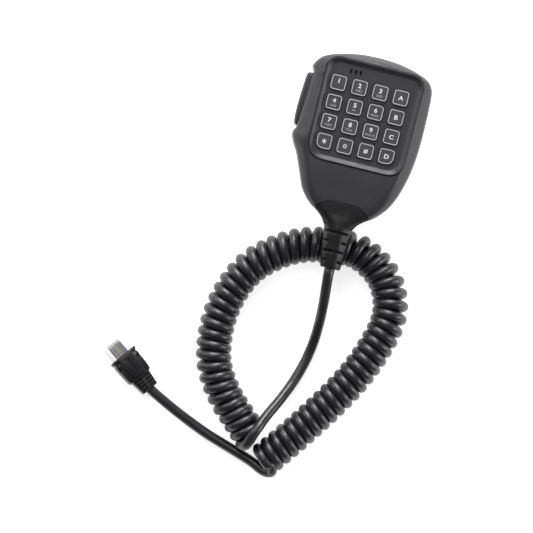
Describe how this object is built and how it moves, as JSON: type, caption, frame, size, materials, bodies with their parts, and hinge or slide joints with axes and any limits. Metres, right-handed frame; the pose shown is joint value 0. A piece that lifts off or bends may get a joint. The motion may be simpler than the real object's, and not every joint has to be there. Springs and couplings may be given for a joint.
{
  "type": "hand microphone",
  "caption": "Palm-type hand microphone with a recessed keypad, a side push-to-talk lever, a back hanger button and a curly cord to a clear modular plug.",
  "frame": {"origin": "middle of the hanger button's flat outer face, on the surface that the microphone lies on", "axes": "+Z out of the keypad face, +Y to the top of the microphone, +X to the right of the keypad"},
  "size_m": [0.157, 0.2354, 0.0368],
  "materials": {
    "case_front": "fine textured dark grey moulding",
    "case_back": "fine textured dark grey moulding",
    "panel": "fine textured",
    "key": "matt silicone with pale printed ring and legend",
    "mat": "matt silicone",
    "lever": "satin moulding",
    "steel": "turned and plated",
    "board": "solder mask",
    "gold": "plated contact",
    "chip": "moulded package",
    "capsule": "drawn can",
    "felt": "acoustic cloth",
    "plunger": "moulded",
    "connector": "moulded",
    "leads": "coloured insulation",
    "boot_rubber": "satin rubber",
    "cord": "satin jacket",
    "clear": "clear moulded polycarbonate"
  },
  "bodies": {
    "microphone": {"front_case": "case_front", "rear_cover": "case_back", "keypad_panel": "panel", "key_mat": "mat", "circuit_board": "board", "contact_domes": "gold", "board_parts": "chip", "board_screws": "steel", "mic_capsule": "capsule", "capsule_boot": "boot_rubber", "dust_screen": "felt", "ptt_pin": "steel", "ptt_switch": "chip", "hanger_button": "steel", "hanger_screw": "steel", "case_screws": "steel", "neck_boot": "boot_rubber", "cord_entry": "cord", "cord_clamp": "steel", "clamp_screws": "steel", "lead_socket": "connector", "lead_plug": "connector", "lead_wires": "leads", "cord_mic_tail": "cord", "cord_coil": "cord", "cord_plug_tail": "cord", "plug_body": "clear", "plug_contacts": "gold", "plug_cores": "leads", "plug_boot": "boot_rubber"},
    "lever": {"ptt_lever": "lever"},
    "plunger": {"ptt_plunger": "plunger"},
    "latch": {"plug_latch": "clear"},
    "pad_1": {"key_1": "key"},
    "pad_2": {"key_2": "key"},
    "pad_3": {"key_3": "key"},
    "pad_a": {"key_a": "key"},
    "pad_4": {"key_4": "key"},
    "pad_5": {"key_5": "key"},
    "pad_6": {"key_6": "key"},
    "pad_b": {"key_b": "key"},
    "pad_7": {"key_7": "key"},
    "pad_8": {"key_8": "key"},
    "pad_9": {"key_9": "key"},
    "pad_c": {"key_c": "key"},
    "pad_star": {"key_star": "key"},
    "pad_0": {"key_0": "key"},
    "pad_hash": {"key_hash": "key"},
    "pad_d": {"key_d": "key"}
  },
  "joints": [
    {"name": "lever_pivot", "type": "hinge", "parent": "microphone", "child": "lever", "pos_m": [-0.0316, 0.013, 0.0205], "axis": [0, 0, 1], "range_deg": [0, 4], "stiffness_Nm_per_rad": 0.6, "springref_deg": -3.44},
    {"name": "plunger_slide", "type": "slide", "parent": "microphone", "child": "plunger", "axis": [1, 0, 0], "range_m": [0, 0.00122]},
    {"name": "latch_flex", "type": "hinge", "parent": "microphone", "child": "latch", "pos_m": [-0.103, -0.15288, 0.00973], "axis": [0.5749, 0.7913, -0.2079], "range_deg": [0, 3], "stiffness_Nm_per_rad": 0.4, "springref_deg": -1.15},
    {"name": "press_1", "type": "slide", "parent": "microphone", "child": "pad_1", "axis": [0, 0, -1], "range_m": [0, 0.0008], "stiffness_N_per_m": 900, "springref_m": -0.0006},
    {"name": "press_2", "type": "slide", "parent": "microphone", "child": "pad_2", "axis": [0, 0, -1], "range_m": [0, 0.0008], "stiffness_N_per_m": 900, "springref_m": -0.0006},
    {"name": "press_3", "type": "slide", "parent": "microphone", "child": "pad_3", "axis": [0, 0, -1], "range_m": [0, 0.0008], "stiffness_N_per_m": 900, "springref_m": -0.0006},
    {"name": "press_a", "type": "slide", "parent": "microphone", "child": "pad_a", "axis": [0, 0, -1], "range_m": [0, 0.0008], "stiffness_N_per_m": 900, "springref_m": -0.0006},
    {"name": "press_4", "type": "slide", "parent": "microphone", "child": "pad_4", "axis": [0, 0, -1], "range_m": [0, 0.0008], "stiffness_N_per_m": 900, "springref_m": -0.0006},
    {"name": "press_5", "type": "slide", "parent": "microphone", "child": "pad_5", "axis": [0, 0, -1], "range_m": [0, 0.0008], "stiffness_N_per_m": 900, "springref_m": -0.0006},
    {"name": "press_6", "type": "slide", "parent": "microphone", "child": "pad_6", "axis": [0, 0, -1], "range_m": [0, 0.0008], "stiffness_N_per_m": 900, "springref_m": -0.0006},
    {"name": "press_b", "type": "slide", "parent": "microphone", "child": "pad_b", "axis": [0, 0, -1], "range_m": [0, 0.0008], "stiffness_N_per_m": 900, "springref_m": -0.0006},
    {"name": "press_7", "type": "slide", "parent": "microphone", "child": "pad_7", "axis": [0, 0, -1], "range_m": [0, 0.0008], "stiffness_N_per_m": 900, "springref_m": -0.0006},
    {"name": "press_8", "type": "slide", "parent": "microphone", "child": "pad_8", "axis": [0, 0, -1], "range_m": [0, 0.0008], "stiffness_N_per_m": 900, "springref_m": -0.0006},
    {"name": "press_9", "type": "slide", "parent": "microphone", "child": "pad_9", "axis": [0, 0, -1], "range_m": [0, 0.0008], "stiffness_N_per_m": 900, "springref_m": -0.0006},
    {"name": "press_c", "type": "slide", "parent": "microphone", "child": "pad_c", "axis": [0, 0, -1], "range_m": [0, 0.0008], "stiffness_N_per_m": 900, "springref_m": -0.0006},
    {"name": "press_star", "type": "slide", "parent": "microphone", "child": "pad_star", "axis": [0, 0, -1], "range_m": [0, 0.0008], "stiffness_N_per_m": 900, "springref_m": -0.0006},
    {"name": "press_0", "type": "slide", "parent": "microphone", "child": "pad_0", "axis": [0, 0, -1], "range_m": [0, 0.0008], "stiffness_N_per_m": 900, "springref_m": -0.0006},
    {"name": "press_hash", "type": "slide", "parent": "microphone", "child": "pad_hash", "axis": [0, 0, -1], "range_m": [0, 0.0008], "stiffness_N_per_m": 900, "springref_m": -0.0006},
    {"name": "press_d", "type": "slide", "parent": "microphone", "child": "pad_d", "axis": [0, 0, -1], "range_m": [0, 0.0008], "stiffness_N_per_m": 900, "springref_m": -0.0006}
  ],
  "couplings": [
    {"joint": "plunger_slide", "follows": "lever_pivot", "m_per_rad": 0.0172}
  ]
}
